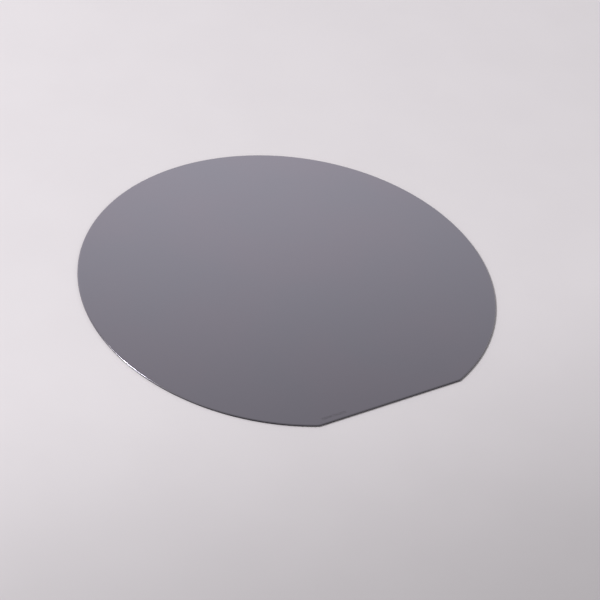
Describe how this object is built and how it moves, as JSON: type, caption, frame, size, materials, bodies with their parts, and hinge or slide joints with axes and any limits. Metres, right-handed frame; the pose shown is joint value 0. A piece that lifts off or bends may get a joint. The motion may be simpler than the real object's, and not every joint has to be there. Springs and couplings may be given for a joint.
{
  "type": "silicon wafer",
  "caption": "Thin round silicon wafer with a mirror-polished face, an etched back, a ground round edge and one flat cut on its rim.",
  "frame": {"origin": "centre of the disc, on the back face that it lies on", "axes": "+Z out of the polished face, -Y out of the primary flat, +X along the flat"},
  "size_m": [0.15, 0.1444, 0.0007],
  "materials": {
    "silicon": "polished"
  },
  "bodies": {
    "root": {"wafer": "silicon"}
  },
  "joints": []
}
